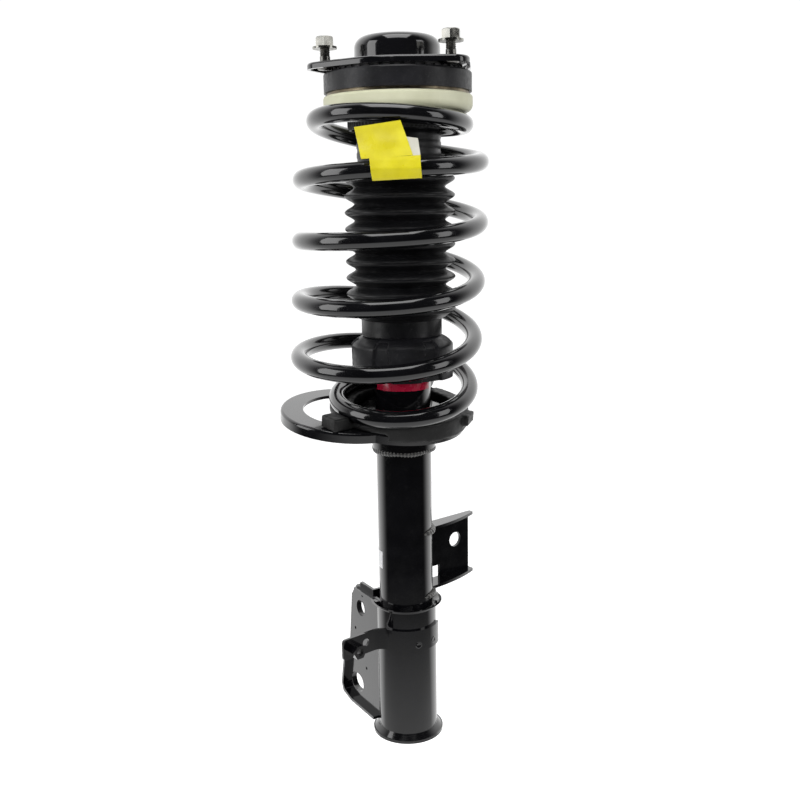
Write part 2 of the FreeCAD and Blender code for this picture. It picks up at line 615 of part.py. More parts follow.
def seat_weld():
    """The bead where the seat's sleeve ends on the tube."""
    height = value("seat_sleeve_low")
    bead = Part.makeTorus(value("tube_round + seat_weld_centre"), value("seat_weld_round"),
                          Vector(0, 0, height - 1.0))
    bead = bead.cut([disc(value("tube_round"), -330.0, -290.0), disc(40.0, height, height + 9.0)])
    shaped("seat_weld", bead)


# ---------------------------------------------------------------- stabiliser bracket

def stabiliser_bracket():
    """A channel that stands out from the tube, drawn along +Y and then turned to its own angle."""
    face, thick = value("link_face"), value("link_sheet")
    low, top, reach = value("link_low"), value("link_top"), value("link_reach")
    wide, narrow, tip = value("link_flange"), value("link_tip_flange"), value("link_tip_reach")
    back = face - thick
    web = block(back, face, 20.0, reach, low, top)
    web = web.cut(block(back - 1.0, face + 1.0, 10.0, value("link_gap_reach"), low + thick,
                        low + value("link_gap_high")))
    root = value("link_root")
    start = Vector(wide, root, 0.0)
    middle = Vector(wide - value("link_bulge"), value("link_bulge_reach"), 0.0)
    end = Vector(narrow, tip, 0.0)
    front = Part.Arc(start, middle, end).toShape()
    corners = [end, Vector(back, tip, 0.0), Vector(back, root, 0.0), start]
    sides = [Part.makeLine(a, b) for a, b in zip(corners, corners[1:])]
    flange = Part.Face(Part.Wire([front] + sides)).extrude(Vector(0, 0, thick))
    lower, upper = flange.copy(), flange.copy()
    lower.translate(Vector(0, 0, low))
    upper.translate(Vector(0, 0, top - thick))
    solid = web.fuse([lower, upper]).removeSplitter()
    bends = []
    for edge in solid.Edges:
        box = edge.BoundBox
        level = abs(box.ZMax - box.ZMin) < 1e-6 and box.YLength > 30.0 and box.XLength < 1e-6
        outer = min(abs(box.ZMin - low), abs(box.ZMin - top)) < 1e-6
        if level and outer and abs(box.XMin - back) < 1e-6:
            bends.append(edge)
    solid = solid.makeFillet(value("link_edge_round"), bends)
    hole = Part.makeCylinder(value("link_hole_round"), 12.0,
                             Vector(back - 5.0, value("link_hole_reach"), value("link_hole_height")),
                             Vector(1, 0, 0))
    solid = solid.cut([hole, disc(value("tube_round"), low - 5.0, top + 5.0)])
    solid.rotate(Vector(), Vector(0, 0, 1), value("link_angle") - 90.0)
    shaped("stabiliser_bracket", solid)
    bead = []
    for height in (low + thick / 2.0, top - thick / 2.0):
        arc = Part.makeTorus(value("tube_round + link_weld_centre"), value("link_weld_round"),
                             Vector(0, 0, height))
        sector = prism([(0, 0, height - 6), (60, 8, height - 6), (60, 60, height - 6), (-6, 60, height - 6)],
                       Vector(0, 0, 12))
        sector.rotate(Vector(), Vector(0, 0, 1), value("link_angle") - 90.0)
        bead.append(arc.common(sector))
    welds = Part.makeCompound(bead)
    welds = welds.cut([disc(value("tube_round"), low - 9.0, top + 9.0), solid])
    shaped("stabiliser_welds", welds)


# ---------------------------------------------------------------- knuckle bracket

def ear_outline(inset, y0, y1):
    """The ear's outline in the XZ plane, pulled in by inset, as a solid from y0 to y1."""
    top, low, reach = value("knuckle_top"), value("ear_low"), value("ear_reach")
    points = [(-4.0, top - inset), (25.5 - reach, top + 2.0 - inset), (20.5 - reach, top - 3.5 - inset),
              (15.5 + inset - reach, top - 10.0 - inset), (10.5 + inset - reach, top - 51.0),
              (3.5 + inset - reach, top - 84.0), (inset - reach, low + 11.0),
              (3.0 + inset - reach, low + 3.5 + inset), (18.0 - reach, low + inset), (-4.0, low + inset)]
    solid = prism([(x, y0, z) for x, z in points], Vector(0, y1 - y0, 0))
    upright = []
    for edge in solid.Edges:
        box = edge.BoundBox
        along = box.YLength > abs(y1 - y0) - 1e-6
        if along and box.XMax < 14.0 - reach and box.XMin > -reach - 1.0:
            upright.append(edge)
    return solid.makeFillet(2.6, upright)


def bolt_holes(y0, y1):
    """The round upper bolt hole and the level slot of the lower one."""
    bolt = value("bolt_round")
    x, z = -value("upper_bolt_reach"), value("upper_bolt_height")
    along = Vector(0, 1, 0)
    tools = [Part.makeCylinder(bolt, y1 - y0, Vector(x, y0, z), along)]
    x, z = -value("lower_bolt_reach"), value("lower_bolt_height")
    slot = value("slot_round")
    half = value("slot_length") / 2.0 - slot
    tools.append(Part.makeCylinder(slot, y1 - y0, Vector(x - half, y0, z), along))
    tools.append(Part.makeCylinder(slot, y1 - y0, Vector(x + half, y0, z), along))
    tools.append(block(x - half, x + half, y0, y1, z - slot, z + slot))
    return tools


def knuckle_bracket():
    top, low = value("knuckle_top"), value("knuckle_low")
    face, sheet_t, reach = value("ear_face"), value("ear_sheet"), value("ear_reach")
    collar, bore, lip = value("collar_round"), value("collar_bore"), value("lip_width")
    lip_t = value("lip_thick")
    ring_part = disc(collar, low, top)
    flare, foot_flare = value("flare_high"), value("foot_flare_high")
    flare_top = Part.makeCone(collar, collar + lip, flare, Vector(0, 0, top - flare))
    flare_low = Part.makeCone(collar + lip, collar, foot_flare, Vector(0, 0, low + lip_t - 1.0))
    foot = disc(collar + lip, low, low + lip_t)
    ring_part = ring_part.fuse([flare_top, flare_low, foot])
    mouth = Part.makeCone(bore + 0.6, bore + lip + 0.6, flare + 0.4, Vector(0, 0, top - flare - 0.2))
    ring_part = ring_part.cut([disc(bore, low - 1.0, top + 1.0), mouth])
    behind = block(-60.0, -10.0, -face + sheet_t, face - sheet_t, low - 1.0, top + 1.0)
    ring_part = ring_part.cut(behind)
    ears, liners = [], []
    for side in (-1.0, 1.0):
        inner, outer = sorted((side * (face - sheet_t), side * face))
        ears.append(ear_outline(0.0, inner, outer))
        edge_in, edge_out = sorted((side * (face - 0.1), side * (face + lip)))
        strip = ear_outline(0.0, edge_in, edge_out)
        hollow = ear_outline(lip_t, edge_in - 1.0, edge_out + 1.0)
        strip = strip.cut([hollow, block(-120.0, 60.0, -60.0, 60.0, value("ear_lip_top"), top + 9.0),
                           block(-14.0, 60.0, -60.0, 60.0, low - 9.0, top + 9.0)])
        ears.append(strip)
        roll = block(26.0 - reach, -8.0, *sorted((side * (face - 0.1), side * (face + value("roll_width")))),
                     top - lip_t, top)
        ears.append(roll)
    bracket = ring_part.fuse(ears).cut(disc(bore, low - 1.0, top + 1.0))
    small = [Part.makeCylinder(value("pilot_round"), 80.0, Vector(x, -40.0, z), Vector(0, 1, 0))
             for x, z in PILOT_HOLES]
    bracket = bracket.cut(bolt_holes(-60.0, 60.0) + small).removeSplitter()
    shaped("knuckle_bracket", bracket)
    back = bore + value("liner_sheet")
    inside = face - sheet_t
    rise = value("liner_rise")
    channel = block(-reach, -bore, -inside, inside, low, top + rise)
    channel = channel.cut(block(-reach - 1.0, -back, -inside + value("liner_sheet"),
                                inside - value("liner_sheet"), low - 1.0, top + rise + 1.0))
    shape = ear_outline(value("liner_inset"), -inside, inside)
    crest = prism([(x, -inside, z) for x, z in (
        (-4.0, top - 9.0), (-4.0, top + rise), (28.0 - reach, top + rise), (20.0 - reach, top - 9.0))],
        Vector(0, 2.0 * inside, 0))
    channel = channel.common(shape.fuse(crest)).cut(bolt_holes(-60.0, 60.0) + small)
    shaped("knuckle_liner", channel.removeSplitter())


# ---------------------------------------------------------------- hose bracket

def hose_bracket():
    """A strap round the collar that bends out into a flat tab with a weld nut."""
    collar, sheet_t = value("collar_round") + 0.05, value("strap_sheet")
    low, top, reach = value("strap_low"), value("strap_top"), value("hose_reach")
    bend, angle = value("hose_bend_round"), value("hose_angle")
    bend_x = math.sqrt((collar + sheet_t + bend) ** 2 - bend ** 2)
    touch = math.degrees(math.atan2(bend, bend_x))

    def fan(x, y, turns):
        points = [(x, y, low - 1.0)]
        for turn in turns:
            away_x, away_y = polar(90.0, turn)
            points.append((x + away_x, y + away_y, low - 1.0))
        return prism(points, Vector(0, 0, top - low + 2.0))

    band = disc(collar + sheet_t, low, top).cut(disc(collar, low, top))
    wrap = value("strap_wrap")
    band = band.common(fan(0.0, 0.0, [touch + (wrap - touch) * share / 5.0 for share in range(6)]))
    curl = disc(bend + sheet_t, low, top, bend_x, bend).cut(disc(bend, low, top, bend_x, bend))
    curl = curl.common(fan(bend_x, bend, (180.0 + touch, 225.0 + touch / 2.0, 270.0)))
    tab = block(bend_x, reach, -sheet_t, 0.0, low, top)
    tab = tab.makeFillet(value("tab_corner"), [
        edge for edge in tab.Edges if edge.BoundBox.XMin > reach - 1e-6 and edge.BoundBox.YLength > 1.0])
    hole_at = Vector(value("hose_hole_reach"), -10.0, value("hose_hole_height"))
    nut_at = Vector(value("hose_nut_reach"), -10.0, value("hose_nut_height"))
    along = Vector(0, 1, 0)
    tab = tab.cut([Part.makeCylinder(value("hose_hole_round"), 20.0, hole_at, along),
                   Part.makeCylinder(value("hose_nut_bore"), 20.0, nut_at, along)])
    solid = band.fuse([curl, tab]).removeSplitter()
    solid.rotate(Vector(), Vector(0, 0, 1), angle)
    shaped("hose_bracket", solid)
    nut = hexagon(value("hose_nut_flats"), 0.0, value("hose_nut_long"))
    nut = nut.cut(disc(value("hose_nut_bore"), -1.0, 20.0))
    nut.rotate(Vector(), Vector(1, 0, 0), -90.0)
    nut.translate(Vector(value("hose_nut_reach"), 0.0, value("hose_nut_height")))
    nut.rotate(Vector(), Vector(0, 0, 1), angle)
    shaped("hose_weld_nut", nut)


# ---------------------------------------------------------------- labels and tag

def patch(inner, thick, centre, half_angle, low, top):
    """A thin curved label on a round wall."""
    shell = disc(inner + thick, low, top).cut(disc(inner, low - 1.0, top + 1.0))
    fan = [polar(inner * 3.0, centre + half_angle * turn) for turn in (-1.0, -0.34, 0.34, 1.0)]
    points = [(0, 0, low - 1)] + [(x, y, low - 1) for x, y in fan]
    return shell.common(prism(points, Vector(0, 0, top - low + 2)))


def labels():
    tube, thick = value("tube_round"), value("label_thick")
    shaped("body_label", patch(tube, thick, value("label_angle"), value("label_half_angle"),
                               value("label_low"), value("label_top")))
    shaped("small_label", patch(tube, thick, value("small_label_angle"), value("small_label_half_angle"),
                                value("small_label_low"), value("small_label_top")))


def hang_tag():
    """The folded tape that hangs from the first coil and is stuck over the front of the second."""
    inner = [(reach - value("tag_thick"), z) for reach, z in reversed(TAG_LINE)]
    half = value("tag_width") / 2.0
    tag = prism([(u, -half, z) for u, z in TAG_LINE + inner], Vector(0, 2.0 * half, 0))
    tag.rotate(Vector(), Vector(0, 0, 1), value("tag_angle"))
    shaped("tape_tag", tag)


top_mount()
bearing()
coil_spring()
boot()
bump_parts()
damper()
lower_spring_seat()
lower_isolator()
seat_weld()
stabiliser_bracket()
knuckle_bracket()
hose_bracket()
labels()
hang_tag()
doc.recompute()

for thing in doc.Objects:
    if "Invalid" in thing.State or "Error" in thing.State:
        raise RuntimeError(f"{thing.Label} did not compute")
for part in parts:
    if part.Shape.isNull() or not part.Shape.isValid():
        raise RuntimeError(f"{part.Label} has no valid shape")

os.makedirs("parts", exist_ok=True)
for part in parts:
    part.Shape.exportStep(os.path.join("parts", part.Label + ".step"))
    box = part.Shape.BoundBox
    print(f"{part.Label:22s} solids {len(part.Shape.Solids):3d} volume {part.Shape.Volume:10.0f}"
          f" z {box.ZMin:8.2f} {box.ZMax:8.2f}")
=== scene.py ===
"""The looks of a coil-over suspension strut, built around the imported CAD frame."""
import math

import bmesh
import bpy
from mathutils import Matrix, Vector, noise


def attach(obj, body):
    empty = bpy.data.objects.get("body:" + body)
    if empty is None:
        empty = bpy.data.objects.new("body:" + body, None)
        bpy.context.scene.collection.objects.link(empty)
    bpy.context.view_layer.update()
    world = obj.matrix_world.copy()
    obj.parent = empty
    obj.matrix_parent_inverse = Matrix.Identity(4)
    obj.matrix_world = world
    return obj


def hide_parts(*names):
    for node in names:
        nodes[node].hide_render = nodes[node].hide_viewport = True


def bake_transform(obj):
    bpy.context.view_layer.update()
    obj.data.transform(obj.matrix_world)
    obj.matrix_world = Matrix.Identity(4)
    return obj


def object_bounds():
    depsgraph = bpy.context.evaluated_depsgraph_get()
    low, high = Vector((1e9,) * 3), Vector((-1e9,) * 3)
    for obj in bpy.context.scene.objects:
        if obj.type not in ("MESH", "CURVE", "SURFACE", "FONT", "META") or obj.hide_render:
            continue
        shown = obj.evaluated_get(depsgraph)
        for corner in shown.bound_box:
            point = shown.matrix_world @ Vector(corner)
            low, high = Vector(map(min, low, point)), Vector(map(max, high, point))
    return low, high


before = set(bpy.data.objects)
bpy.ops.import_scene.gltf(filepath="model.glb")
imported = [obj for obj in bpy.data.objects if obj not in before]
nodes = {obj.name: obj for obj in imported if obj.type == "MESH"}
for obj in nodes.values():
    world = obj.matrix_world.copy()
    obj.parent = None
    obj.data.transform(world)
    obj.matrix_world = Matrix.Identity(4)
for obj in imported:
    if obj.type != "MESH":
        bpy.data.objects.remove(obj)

cad_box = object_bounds()
MM = 0.001
DATUM = 3.3              # the drawn heights below are this much under the row's own


def clamp(share):
    return min(max(share, 0.0), 1.0)


def step(n, start, width):
    u = clamp((n - start) / width)
    return u * u * (3.0 - 2.0 * u)


def eased(n, start, width):
    """The running sum of a rate that grows smoothly from 0 to 1 over width."""
    u = (n - start) / width
    if u <= 0.0:
        return 0.0
    return n - start - width / 2.0 if u >= 1.0 else width * (u ** 3 - u ** 4 / 2.0)


def polar(radius, angle):
    turn = math.radians(angle)
    return radius * math.cos(turn), radius * math.sin(turn)


def mix(a, b, share):
    return a + (b - a) * share


# ---------------------------------------------------------------- camera, floor and light

VIEW_ANGLE = math.radians(-31.0)     # where the camera stands round the strut
VIEW_DISTANCE = 0.815                # from the strut's axis, level
EYE_HEIGHT = -0.1037
PITCH = math.radians(11.3)           # the camera looks down by this much
ROLL = 0.0173
SIDE_STEP = -0.0025


def add_camera():
    outward = Vector((math.cos(VIEW_ANGLE), math.sin(VIEW_ANGLE), 0.0))
    right = Vector((-outward.y, outward.x, 0.0))
    forward = -outward * math.cos(PITCH) - Vector((0, 0, math.sin(PITCH)))
    up = right.cross(forward).normalized()
    cam_up = (up + right * ROLL).normalized()
    cam_right = (right - up * ROLL).normalized()
    place = outward * VIEW_DISTANCE + right * SIDE_STEP + Vector((0, 0, EYE_HEIGHT))
    turn = Matrix((cam_right, cam_up, -forward)).transposed().to_4x4()
    data = bpy.data.cameras.new("camera")
    data.sensor_width = 36.0
    data.lens = 45.0
    data.clip_end = 50.0
    camera = bpy.data.objects.new("camera", data)
    camera.matrix_world = Matrix.Translation(place) @ turn
    bpy.context.scene.collection.objects.link(camera)
    bpy.context.scene.camera = camera


def new_material(name):
    material = bpy.data.materials.new(name)
    material.use_nodes = True
    tree = material.node_tree
    return material, tree, tree.nodes["Principled BSDF"]


FLOOR_HALF = 14.0
FLOOR_DROP = 0.62
FLOOR_GLOW = 0.75


def add_floor():
    """A wide pale floor well below the strut, which hangs by its top studs."""
    half, height = FLOOR_HALF, cad_box[0][2] - FLOOR_DROP
    mesh = bpy.data.meshes.new("floor")
    mesh.from_pydata([(-half, -half, height), (half, -half, height), (half, half, height),
                      (-half, half, height)], [], [(0, 1, 2, 3)])
    floor = bpy.data.objects.new("floor", mesh)
    bpy.context.scene.collection.objects.link(floor)
    material, tree, shader = new_material("floor_paper")
    grain = tree.nodes.new("ShaderNodeTexNoise")
    grain.inputs["Scale"].default_value = 3.0
    ramp = tree.nodes.new("ShaderNodeValToRGB")
    ramp.color_ramp.elements[0].color = (0.93, 0.93, 0.93, 1)
    ramp.color_ramp.elements[1].color = (0.96, 0.96, 0.96, 1)
    tree.links.new(grain.outputs["Fac"], ramp.inputs["Fac"])
    tree.links.new(ramp.outputs["Color"], shader.inputs["Base Color"])
    tree.links.new(ramp.outputs["Color"], shader.inputs["Emission Color"])
    shader.inputs["Emission Strength"].default_value = FLOOR_GLOW
    shader.inputs["Roughness"].default_value = 0.9
    mesh.materials.append(material)
    floor.visible_glossy = False
    floor.visible_diffuse = False


def area_light(name, place, width, height, radiance, mirrored=True):
    """A soft box of an even brightness; one that isn't mirrored lights pieces but shows in no gloss."""
    data = bpy.data.lights.new(name, "AREA")
    data.shape = "RECTANGLE"
    data.size, data.size_y = width, height
    data.energy = radiance * math.pi * width * height
    light = bpy.data.objects.new(name, data)
    light.location = place
    light.rotation_euler = (Vector(AIM) - Vector(place)).to_track_quat("-Z", "Y").to_euler()
    light.visible_glossy = mirrored
    bpy.context.scene.collection.objects.link(light)


def around(angle, distance, height):
    """A place by its angle as the camera sees it: 0 is to its right, 180 left, 270 towards it."""
    x, y = polar(distance, angle + math.degrees(VIEW_ANGLE) + 90.0)
    return (x, y, height)


AIM = (0, 0, -0.25)                  # the middle of the strut, which every light faces
ROOM_LIGHT, PAPER_LIGHT, TABLE_LIGHT = 0.025, 1.3, 1.0
BACKGROUND_LIGHT = 1.05


def share_towards(tree, where, direction, first, last, low, high):
    """A brightness that grows from low to high as the sky turns towards a direction."""
    facing = tree.nodes.new("ShaderNodeVectorMath")
    facing.operation = "DOT_PRODUCT"
    facing.inputs[1].default_value = direction
    ramp = tree.nodes.new("ShaderNodeMapRange")
    ramp.interpolation_type = "SMOOTHSTEP"
    for key, number in (("From Min", first), ("From Max", last), ("To Min", low), ("To Max", high)):
        ramp.inputs[key].default_value = number
    tree.links.new(where.outputs["Generated"], facing.inputs[0])
    tree.links.new(facing.outputs["Value"], ramp.inputs["Value"])
    return ramp.outputs["Result"]


def add_lights():
    # angle, distance and height, then width, height and brightness
    area_light("fill_left", around(232, 1.4, 0.35), 0.8, 1.2, 5.2, mirrored=False)
    area_light("fill_right", around(305, 1.4, 0.25), 0.8, 1.2, 3.2, mirrored=False)
    area_light("shine_left", around(198, 1.5, 0.15), 0.7, 1.5, 2.4)
    area_light("shine_right", around(334, 1.6, 0.15), 0.5, 1.4, 1.9)
    area_light("overhead", around(270, 0.4, 1.5), 1.2, 1.2, 2.8)
    light_world()


def light_world():
    """White behind the strut for the camera, and a graded room for everything else."""
    world = bpy.data.worlds.new("studio")
    world.use_nodes = True
    tree = world.node_tree
    seen = tree.nodes["Background"]
    seen.inputs["Color"].default_value = (1, 1, 1, 1)
    seen.inputs["Strength"].default_value = BACKGROUND_LIGHT
    # the white paper behind and under the strut lights it more than the dark room in front does
    where = tree.nodes.new("ShaderNodeTexCoord")
    x, y, _ = around(90, 1.0, 0.0)
    behind = share_towards(tree, where, (x, y, 0.0), -0.15, 0.50, ROOM_LIGHT, PAPER_LIGHT)
    below = share_towards(tree, where, (0.0, 0.0, -1.0), 0.34, 0.56, 0.0, TABLE_LIGHT)
    total = tree.nodes.new("ShaderNodeMath")
    total.operation = "MAXIMUM"
    room = tree.nodes.new("ShaderNodeBackground")
    path = tree.nodes.new("ShaderNodeLightPath")
    either = tree.nodes.new("ShaderNodeMixShader")
    tree.links.new(behind, total.inputs[0])
    tree.links.new(below, total.inputs[1])
    tree.links.new(total.outputs["Value"], room.inputs["Strength"])
    tree.links.new(path.outputs["Is Camera Ray"], either.inputs["Fac"])
    tree.links.new(room.outputs["Background"], either.inputs[1])
    tree.links.new(seen.outputs["Background"], either.inputs[2])
    tree.links.new(either.outputs["Shader"], tree.nodes["World Output"].inputs["Surface"])
    bpy.context.scene.world = world
    bpy.context.scene.view_settings.view_transform = "Standard"


# ---------------------------------------------------------------- materials

def texture(tree, scale, detail=4.0):
    """Noise in the piece's own coordinates, so that it moves with the piece."""
    where = tree.nodes.new("ShaderNodeTexCoord")
    made = tree.nodes.new("ShaderNodeTexNoise")
    made.inputs["Scale"].default_value = scale
    made.inputs["Detail"].default_value = detail
    tree.links.new(where.outputs["Object"], made.inputs["Vector"])
    return made.outputs["Fac"]


def ranged(tree, source, low, high, first=0.35, last=0.65):
    made = tree.nodes.new("ShaderNodeMapRange")
    for key, number in (("From Min", first), ("From Max", last), ("To Min", low), ("To Max", high)):
        made.inputs[key].default_value = number
    tree.links.new(source, made.inputs["Value"])
    return made.outputs["Result"]


def blended(tree, factor, first, second):
    """A colour between two others; either may be a colour or another node's output."""
    made = tree.nodes.new("ShaderNodeMix")
    made.data_type = "RGBA"
    for socket, colour in ((made.inputs["A"], first), (made.inputs["B"], second)):
        if isinstance(colour, tuple):
            socket.default_value = (*colour, 1.0)
        else:
            tree.links.new(colour, socket)
    tree.links.new(factor, made.inputs["Factor"])
    return made.outputs["Result"]


BUMP_DEPTH = 0.0002


def surface(name, dark, pale, rough, cloud=45.0, grain=900.0, bump=0.05, metal=0.0, coat=0.0,
            coat_rough=0.05, wear_and_highlight=None, dust=None, specular=0.5):
    """Colour in soft patches, with roughness and bump in a finer grain.

    cloud and grain are the noises' scales. The edge colour and dust are each a colour and its share:
    the edge colour lightens the raised edges, as worn metal and as a painted highlight; the dust lies in
    specks.
    """
    material, tree, shader = new_material(name)
    colour = blended(tree, ranged(tree, texture(tree, cloud, 6.0), 0.0, 1.0), dark, pale)
    if dust:
        specks = ranged(tree, texture(tree, grain * 0.45, 8.0), 0.0, dust[1], 0.60, 0.72)
        colour = blended(tree, specks, colour, dust[0])
    # painted highlight: raised edges are lightened by their pointiness, partly as worn edges and partly as
    # a painted highlight
    if wear_and_highlight:
        shape = tree.nodes.new("ShaderNodeNewGeometry")
        edges = ranged(tree, shape.outputs["Pointiness"], 0.0, wear_and_highlight[1], 0.53, 0.62)
        colour = blended(tree, edges, colour, wear_and_highlight[0])
    tree.links.new(colour, shader.inputs["Base Color"])
    patches = ranged(tree, texture(tree, grain * 0.2, 5.0), rough[0], rough[1])
    tree.links.new(patches, shader.inputs["Roughness"])
    relief = tree.nodes.new("ShaderNodeBump")
    relief.inputs["Strength"].default_value = bump
    relief.inputs["Distance"].default_value = BUMP_DEPTH
    tree.links.new(texture(tree, grain), relief.inputs["Height"])
    tree.links.new(relief.outputs["Normal"], shader.inputs["Normal"])
    shader.inputs["Metallic"].default_value = metal
    shader.inputs["Coat Weight"].default_value = coat
    shader.inputs["Coat Roughness"].default_value = coat_rough
    shader.inputs["Specular IOR Level"].default_value = specular
    return material


PALE_DUST = (0.16, 0.16, 0.16)

materials = {
    "black_paint": surface("black_paint", (0.0018, 0.0018, 0.0024), (0.004, 0.004, 0.005), (0.09, 0.17),
                           grain=520.0, bump=0.08, coat=0.9, coat_rough=0.03,
                           dust=((0.03, 0.03, 0.03), 0.10)),
    # its raised edges are lightened, partly as worn edges and partly as a painted highlight
    "black_steel": surface("black_steel", (0.010, 0.010, 0.011), (0.022, 0.022, 0.024), (0.28, 0.42),
                           grain=1100.0, bump=0.12, wear_and_highlight=((0.08, 0.08, 0.08), 0.6)),
    "stud_steel": surface("stud_steel", (0.20, 0.20, 0.19), (0.34, 0.33, 0.31), (0.28, 0.42),
                          cloud=220.0, grain=1800.0, bump=0.15, metal=1.0),
    "zinc": surface("zinc", (0.30, 0.30, 0.28), (0.48, 0.47, 0.43), (0.20, 0.36),
                    cloud=160.0, grain=1600.0, bump=0.12, metal=1.0),
    "steel": surface("steel", (0.36, 0.36, 0.36), (0.55, 0.55, 0.54), (0.25, 0.4),
                     cloud=120.0, grain=1500.0, bump=0.1, metal=1.0),
    "rubber": surface("rubber", (0.005, 0.005, 0.005), (0.012, 0.012, 0.012), (0.36, 0.54),
                      grain=1300.0, bump=0.25, dust=(PALE_DUST, 0.10), specular=0.4),
    "boot_rubber": surface("boot_rubber", (0.003, 0.003, 0.0035), (0.007, 0.007, 0.008), (0.30, 0.46),
                           grain=1000.0, bump=0.14, dust=(PALE_DUST, 0.10), specular=0.4),
    "foam": surface("foam", (0.55, 0.50, 0.34), (0.78, 0.72, 0.52), (0.7, 0.9), grain=2400.0, bump=0.5),
    "black_plastic": surface("black_plastic", (0.006, 0.006, 0.007), (0.012, 0.012, 0.014), (0.32, 0.46),
                             grain=1500.0, bump=0.22, dust=(PALE_DUST, 0.12), specular=0.4),
    "cream_plastic": surface("cream_plastic", (0.50, 0.50, 0.35), (0.62, 0.62, 0.46), (0.40, 0.55),
                             cloud=28.0, grain=1400.0, bump=0.15),
    "race_steel": surface("race_steel", (0.16, 0.13, 0.09), (0.34, 0.29, 0.20), (0.3, 0.45),
                          cloud=90.0, grain=1500.0, bump=0.1, metal=1.0),
    "chrome_steel": surface("chrome_steel", (0.62, 0.62, 0.62), (0.74, 0.74, 0.74), (0.05, 0.12),
                            cloud=70.0, grain=1500.0, bump=0.03, metal=1.0),
    "cage_plastic": surface("cage_plastic", (0.15, 0.15, 0.15), (0.24, 0.24, 0.23), (0.45, 0.6),
                            grain=1500.0, bump=0.15),
    # the ridges of the bead are lightened, partly as worn metal and partly as a painted highlight
    "weld": surface("weld", (0.010, 0.010, 0.010), (0.05, 0.05, 0.05), (0.18, 0.36), cloud=420.0,
                    grain=800.0, bump=0.5, coat=0.4, wear_and_highlight=((0.25, 0.24, 0.22), 0.8)),
    "red_label": surface("red_label", (0.42, 0.006, 0.035), (0.55, 0.012, 0.055), (0.22, 0.34),
                         grain=700.0, bump=0.06, coat=0.5),
    "white_label": surface("white_label", (0.55, 0.56, 0.58), (0.80, 0.80, 0.80), (0.3, 0.45),
                           cloud=200.0, grain=900.0, bump=0.06),
    "yellow_tape": surface("yellow_tape", (0.50, 0.43, 0.006), (0.62, 0.55, 0.012), (0.26, 0.42),
                           cloud=60.0, grain=420.0, bump=0.35, coat=0.3, coat_rough=0.2),
    "tape_paper": surface("tape_paper", (0.50, 0.49, 0.42), (0.62, 0.60, 0.52), (0.6, 0.8),
                          grain=1600.0, bump=0.3),
}


def dress_nodes():
    """Each CAD node gets the finish of its own slot."""
    for thing in nodes.values():
        slot = thing.data.materials[0].name.split(".")[0]
        thing.data.materials.clear()
        thing.data.materials.append(materials[slot])


# ---------------------------------------------------------------- mesh helpers

def at(x, y, z):
    return Vector((x * MM, y * MM, (z + DATUM) * MM))


def piece(name, points, faces, slot, body=None, replaced=(), finish=None, sharp=38.0):
    mesh = bpy.data.meshes.new(name)
    mesh.from_pydata([at(*point) for point in points], [], faces)
    build = bmesh.new()
    build.from_mesh(mesh)
    bmesh.ops.recalc_face_normals(build, faces=build.faces)
    for face in build.faces:
        face.smooth = True
    build.to_mesh(mesh)
    build.free()
    mesh.set_sharp_from_angle(angle=math.radians(sharp))
    mesh.materials.append(materials[finish or slot])
    made = bpy.data.objects.new(name, mesh)
    bpy.context.scene.collection.objects.link(made)
    if replaced:
        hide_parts(*replaced)
    if body:
        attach(made, body)
    return made


def skin(rings, round_again=False):
    """Points and faces of a closed surface through rings of the same number of points.

    It runs from the last ring back to the first, or ends in a cap at each.
    """
    count = len(rings[0])
    faces = []
    last = len(rings) if round_again else len(rings) - 1
    for row in range(last):
        low, high = row * count, (row + 1) % len(rings) * count
        for column in range(count):
            after = (column + 1) % count
            faces.append((low + column, low + after, high + after, high + column))
    if not round_again:
        faces.append(tuple(range(count)))
        faces.append(tuple(range((len(rings) - 1) * count, len(rings) * count)))
    return [point for ring in rings for point in ring], faces


def joined(parts):
    """Several (points, faces) as one."""
    points, faces = [], []
    for more, sheets in parts:
        faces += [tuple(corner + len(points) for corner in face) for face in sheets]
        points += more
    return points, faces


def turned(profile, count, shape=None):
    """A closed profile of (radius, height) turned about the strut's axis.

    shape may change a radius by its angle and height.
    """
    rings = []
    for index in range(count):
        angle = 360.0 * index / count
        ring = []
        for radius, height in profile:
            x, y = polar(shape(radius, angle, height) if shape else radius, angle)
            ring.append((x, y, height))
        rings.append(ring)
    return skin(rings, round_again=True)


COIL_TOP = -45.4


def crossing(made):
    """Bakes a piece's placement into its mesh."""
    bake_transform(made)


# ---------------------------------------------------------------- coil spring

WIRE_ROUND, WIRE_TRIM = 6.9, 0.7     # the wire's radius, and the chamfer of its cut ends
COIL_TURNS = 6.0
COIL_ROUND = 70.9
TIP_ROUND, FOOT_ROUND = 54.0, 49.0
COIL_START_ANGLE = 119.0
COIL_PITCH, DEAD_DROP = 46.6, 3.0
BOW_TOP, BOW_LOW = (6.2, 305.0), (14.3, 244.2)         # size and direction
LEAN_TOP, LEAN_LOW = (6.1, 85.4), (18.1, 341.6)
RINGS_PER_TURN = 96
WIRE_SIDES = 28


def shared(share, first, last):
    x0, y0 = polar(*first)
    x1, y1 = polar(*last)
    share = clamp(share)
    return mix(x0, x1, share), mix(y0, y1, share)


def coil_fall(n):
    """How far the wire has come down after n turns."""
    return DEAD_DROP * n + (COIL_PITCH - DEAD_DROP) * (eased(n, 0.39, 0.47) - eased(n, 4.08, 2.77))


